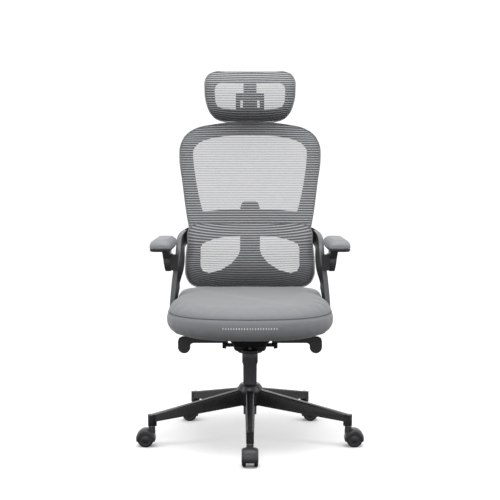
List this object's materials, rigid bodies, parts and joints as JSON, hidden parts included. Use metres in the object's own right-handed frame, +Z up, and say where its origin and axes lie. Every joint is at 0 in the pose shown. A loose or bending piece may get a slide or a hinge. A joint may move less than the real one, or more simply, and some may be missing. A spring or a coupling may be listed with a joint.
{
  "type": "gaming chair",
  "caption": "High-backed mesh chair with headrest, lumbar pad, flip-up arms and padded seat on a gas column and a star base with twin-wheel casters.",
  "frame": {"origin": "on the floor, under the axis of the gas column", "axes": "+Z up; the sitter faces -Y, with their left hand towards +X"},
  "size_m": [0.6954, 0.738, 1.1705],
  "materials": {
    "black_plastic": "fine moulded texture, satin black",
    "caster_nylon": "satin dark grey nylon",
    "black_paint": "gloss black powder coat on steel",
    "zinc_steel": "zinc plated steel",
    "chrome": "hard chromed rod",
    "grey_mesh": "grey knitted mesh with sheer horizontal bands",
    "grey_fabric": "grey woven seat cloth over foam",
    "grey_pad": "soft grey moulded polyurethane"
  },
  "bodies": {
    "base": {"base_star": "black_plastic", "column_tube": "black_paint", "column_bush": "black_plastic"},
    "caster_1": {"caster_1_stem": "zinc_steel", "caster_1_hood": "black_plastic"},
    "caster_1_left": {"caster_1_wheel_left": "caster_nylon"},
    "caster_1_right": {"caster_1_wheel_right": "caster_nylon"},
    "caster_2": {"caster_2_stem": "zinc_steel", "caster_2_hood": "black_plastic"},
    "caster_2_left": {"caster_2_wheel_left": "caster_nylon"},
    "caster_2_right": {"caster_2_wheel_right": "caster_nylon"},
    "caster_3": {"caster_3_stem": "zinc_steel", "caster_3_hood": "black_plastic"},
    "caster_3_left": {"caster_3_wheel_left": "caster_nylon"},
    "caster_3_right": {"caster_3_wheel_right": "caster_nylon"},
    "caster_4": {"caster_4_stem": "zinc_steel", "caster_4_hood": "black_plastic"},
    "caster_4_left": {"caster_4_wheel_left": "caster_nylon"},
    "caster_4_right": {"caster_4_wheel_right": "caster_nylon"},
    "caster_5": {"caster_5_stem": "zinc_steel", "caster_5_hood": "black_plastic"},
    "caster_5_left": {"caster_5_wheel_left": "caster_nylon"},
    "caster_5_right": {"caster_5_wheel_right": "caster_nylon"},
    "lift": {"gas_cylinder": "chrome"},
    "valve": {"valve_button": "zinc_steel"},
    "swivel": {"mechanism_housing": "black_paint", "taper_socket": "black_paint", "tension_spring": "zinc_steel", "tilt_shaft": "zinc_steel"},
    "knob": {"tension_knob": "black_plastic"},
    "lever_height": {"lever_height": "black_plastic"},
    "lever_tilt": {"lever_tilt": "black_plastic"},
    "rocker": {"tilt_plate": "black_paint", "seat_pan": "black_plastic", "seat_cushion": "grey_fabric", "arm_rail_left": "black_plastic", "arm_rail_right": "black_plastic", "arm_bracket_left": "black_plastic", "arm_bracket_right": "black_plastic", "arm_pin_left": "zinc_steel", "arm_pin_right": "zinc_steel", "back_frame": "black_plastic", "back_mesh": "grey_mesh", "back_bolt_left": "zinc_steel", "back_bolt_right": "zinc_steel"},
    "arm_left": {"arm_post_left": "black_plastic", "arm_pad_base_left": "black_plastic", "arm_pad_left": "grey_pad"},
    "arm_right": {"arm_post_right": "black_plastic", "arm_pad_base_right": "black_plastic", "arm_pad_right": "grey_pad"},
    "lumbar_carrier": {"lumbar_slide": "black_plastic", "lumbar_pin": "zinc_steel"},
    "lumbar_pad": {"lumbar_frame": "black_plastic", "lumbar_mesh": "grey_mesh"},
    "headrest_carrier": {"headrest_post": "black_plastic", "headrest_pin": "zinc_steel"},
    "headrest_pad": {"headrest_bracket": "black_plastic", "headrest_frame": "black_plastic", "headrest_mesh": "grey_mesh"}
  },
  "joints": [
    {"name": "caster_1_swivel", "type": "hinge", "parent": "base", "child": "caster_1", "pos_m": [0, -0.316, 0.07], "axis": [0, 0, 1], "continuous": true},
    {"name": "caster_1_left_spin", "type": "hinge", "parent": "caster_1", "child": "caster_1_left", "pos_m": [0, -0.334, 0.02469], "axis": [1, 0, 0], "continuous": true},
    {"name": "caster_1_right_spin", "type": "hinge", "parent": "caster_1", "child": "caster_1_right", "pos_m": [0, -0.334, 0.02469], "axis": [1, 0, 0], "continuous": true},
    {"name": "caster_2_swivel", "type": "hinge", "parent": "base", "child": "caster_2", "pos_m": [0.30053, -0.09765, 0.07], "axis": [0, 0, 1], "continuous": true},
    {"name": "caster_2_left_spin", "type": "hinge", "parent": "caster_2", "child": "caster_2_left", "pos_m": [0.31853, -0.09765, 0.02469], "axis": [0, 1, 0], "continuous": true},
    {"name": "caster_2_right_spin", "type": "hinge", "parent": "caster_2", "child": "caster_2_right", "pos_m": [0.31853, -0.09765, 0.02469], "axis": [0, 1, 0], "continuous": true},
    {"name": "caster_3_swivel", "type": "hinge", "parent": "base", "child": "caster_3", "pos_m": [0.18574, 0.25565, 0.07], "axis": [0, 0, 1], "continuous": true},
    {"name": "caster_3_left_spin", "type": "hinge", "parent": "caster_3", "child": "caster_3_left", "pos_m": [0.20374, 0.25565, 0.02469], "axis": [0, 1, 0], "continuous": true},
    {"name": "caster_3_right_spin", "type": "hinge", "parent": "caster_3", "child": "caster_3_right", "pos_m": [0.20374, 0.25565, 0.02469], "axis": [0, 1, 0], "continuous": true},
    {"name": "caster_4_swivel", "type": "hinge", "parent": "base", "child": "caster_4", "pos_m": [-0.18574, 0.25565, 0.07], "axis": [0, 0, 1], "continuous": true},
    {"name": "caster_4_left_spin", "type": "hinge", "parent": "caster_4", "child": "caster_4_left", "pos_m": [-0.20374, 0.25565, 0.02469], "axis": [0, -1, 0], "continuous": true},
    {"name": "caster_4_right_spin", "type": "hinge", "parent": "caster_4", "child": "caster_4_right", "pos_m": [-0.20374, 0.25565, 0.02469], "axis": [0, -1, 0], "continuous": true},
    {"name": "caster_5_swivel", "type": "hinge", "parent": "base", "child": "caster_5", "pos_m": [-0.30053, -0.09765, 0.07], "axis": [0, 0, 1], "continuous": true},
    {"name": "caster_5_left_spin", "type": "hinge", "parent": "caster_5", "child": "caster_5_left", "pos_m": [-0.31853, -0.09765, 0.02469], "axis": [0, -1, 0], "continuous": true},
    {"name": "caster_5_right_spin", "type": "hinge", "parent": "caster_5", "child": "caster_5_right", "pos_m": [-0.31853, -0.09765, 0.02469], "axis": [0, -1, 0], "continuous": true},
    {"name": "seat_lift", "type": "slide", "parent": "base", "child": "lift", "axis": [0, 0, 1], "range_m": [0, 0.1]},
    {"name": "valve_press", "type": "slide", "parent": "lift", "child": "valve", "axis": [0, 0, -1], "range_m": [0, 0.002]},
    {"name": "seat_swivel", "type": "hinge", "parent": "lift", "child": "swivel", "pos_m": [0, 0, 0.2745], "axis": [0, 0, 1], "continuous": true},
    {"name": "tension_turn", "type": "hinge", "parent": "swivel", "child": "knob", "pos_m": [0, -0.108, 0.295], "axis": [0, 0, 1], "range_deg": [0, 720]},
    {"name": "height_lever", "type": "hinge", "parent": "swivel", "child": "lever_height", "pos_m": [-0.0665, -0.088, 0.325], "axis": [0, 1, 0], "range_deg": [0, 3], "stiffness_Nm_per_rad": 2, "springref_deg": -17.19},
    {"name": "tilt_lever", "type": "hinge", "parent": "swivel", "child": "lever_tilt", "pos_m": [0.0665, -0.088, 0.325], "axis": [0, -1, 0], "range_deg": [0, 3]},
    {"name": "seat_tilt", "type": "hinge", "parent": "swivel", "child": "rocker", "pos_m": [0, -0.055, 0.3055], "axis": [-1, 0, 0], "range_deg": [0, 14], "stiffness_Nm_per_rad": 80, "springref_deg": -34.38},
    {"name": "arm_left_flip", "type": "hinge", "parent": "rocker", "child": "arm_left", "pos_m": [0.26, 0.03, 0.557], "axis": [-1, 0, 0], "range_deg": [0, 90]},
    {"name": "arm_right_flip", "type": "hinge", "parent": "rocker", "child": "arm_right", "pos_m": [-0.26, 0.03, 0.557], "axis": [-1, 0, 0], "range_deg": [0, 90]},
    {"name": "lumbar_height", "type": "slide", "parent": "rocker", "child": "lumbar_carrier", "axis": [0, 0.2516, 0.9678], "range_m": [0, 0.05]},
    {"name": "lumbar_tilt", "type": "hinge", "parent": "lumbar_carrier", "child": "lumbar_pad", "pos_m": [0, 0.198, 0.572], "axis": [-1, 0, 0], "range_deg": [0, 4], "stiffness_Nm_per_rad": 30, "springref_deg": -2.86},
    {"name": "headrest_height", "type": "slide", "parent": "rocker", "child": "headrest_carrier", "axis": [0, 0.2516, 0.9678], "range_m": [0, 0.03]},
    {"name": "headrest_tilt", "type": "hinge", "parent": "headrest_carrier", "child": "headrest_pad", "pos_m": [0, 0.3, 1.066], "axis": [-1, 0, 0], "range_deg": [-20, 20]}
  ],
  "couplings": [
    {"joint": "valve_press", "follows": "height_lever", "m_per_rad": 0.0381}
  ]
}
